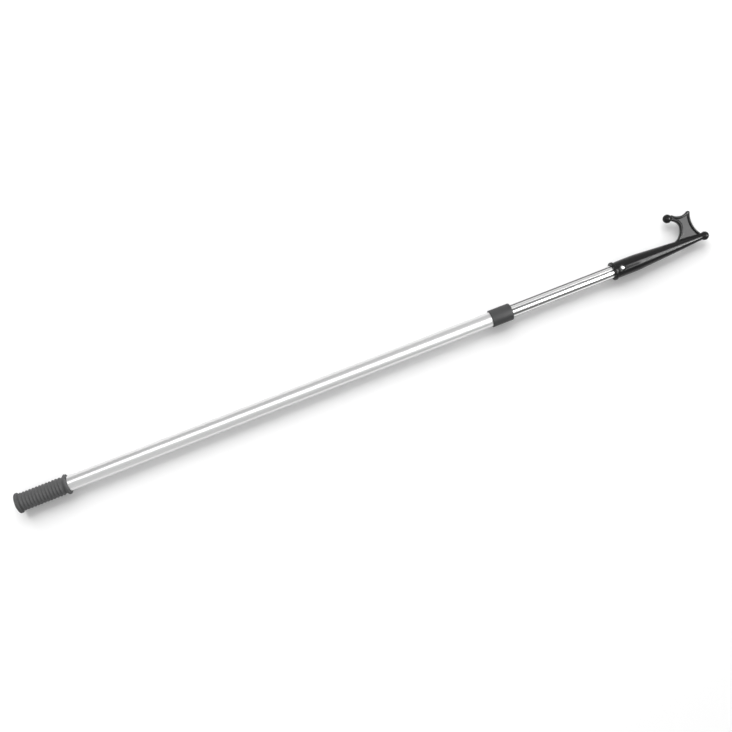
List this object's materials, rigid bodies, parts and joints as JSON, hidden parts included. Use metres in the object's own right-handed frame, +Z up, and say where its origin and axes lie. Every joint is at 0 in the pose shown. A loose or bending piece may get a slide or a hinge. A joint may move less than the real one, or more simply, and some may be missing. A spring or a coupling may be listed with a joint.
{
  "type": "telescopic boat hook",
  "caption": "Two-part telescopic pole with a twist lock, a ribbed grip at one end and a moulded head with a ball-ended hook and prong at the other.",
  "frame": {"origin": "on the floor under the middle of the whole hook, which lies flat with its hook level with the pole", "axes": "+X along the pole from the grip to the hook, +Y to the side the hook points, +Z up"},
  "size_m": [1.229, 0.0742, 0.0338],
  "materials": {
    "outer_aluminium": "satin anodised, fine lengthwise grain",
    "inner_aluminium": "bright, drawn and fluted",
    "grip_rubber": "matte, fine moulded texture",
    "collar_plastic": "matte, fine spark texture",
    "head_plastic": "satin moulded",
    "plug_plastic": "moulded",
    "bush_plastic": "natural acetal",
    "lock_plastic": "moulded",
    "cam_plastic": "moulded",
    "seal_rubber": "matte",
    "float_foam": "closed-cell foam",
    "rivet_aluminium": "bright",
    "steel": "plain"
  },
  "bodies": {
    "outer_pole": {"outer_tube": "outer_aluminium", "hand_grip": "grip_rubber", "butt_plug": "plug_plastic", "butt_plug_seal": "seal_rubber", "lock_collar": "collar_plastic", "guide_bush": "bush_plastic"},
    "lock_slider": {"guide_ring": "bush_plastic"},
    "inner_pole": {"inner_tube": "inner_aluminium", "lock_body": "lock_plastic", "lock_cross_pin": "steel", "cam_thrust_washer": "steel", "cam_end_washer": "steel", "cam_spring_washer": "steel", "cam_screw": "steel", "float_plug": "float_foam", "hook_head": "head_plastic", "head_rivets": "rivet_aluminium", "rivet_mandrels": "steel"},
    "lock_cam": {"cam_ring": "cam_plastic"}
  },
  "joints": [
    {"name": "extend", "type": "slide", "parent": "outer_pole", "child": "lock_slider", "axis": [1, 0, 0], "range_m": [-0.18, 0.54]},
    {"name": "twist", "type": "hinge", "parent": "lock_slider", "child": "inner_pole", "pos_m": [-0.36955, -0.02025, 0.0169], "axis": [1, 0, 0], "range_deg": [0, 75]},
    {"name": "cam_shift", "type": "hinge", "parent": "inner_pole", "child": "lock_cam", "pos_m": [-0.38355, -0.01965, 0.0169], "axis": [1, 0, 0], "range_deg": [-75, 0]}
  ],
  "couplings": [
    {"joint": "cam_shift", "follows": "twist", "ratio": -1}
  ]
}
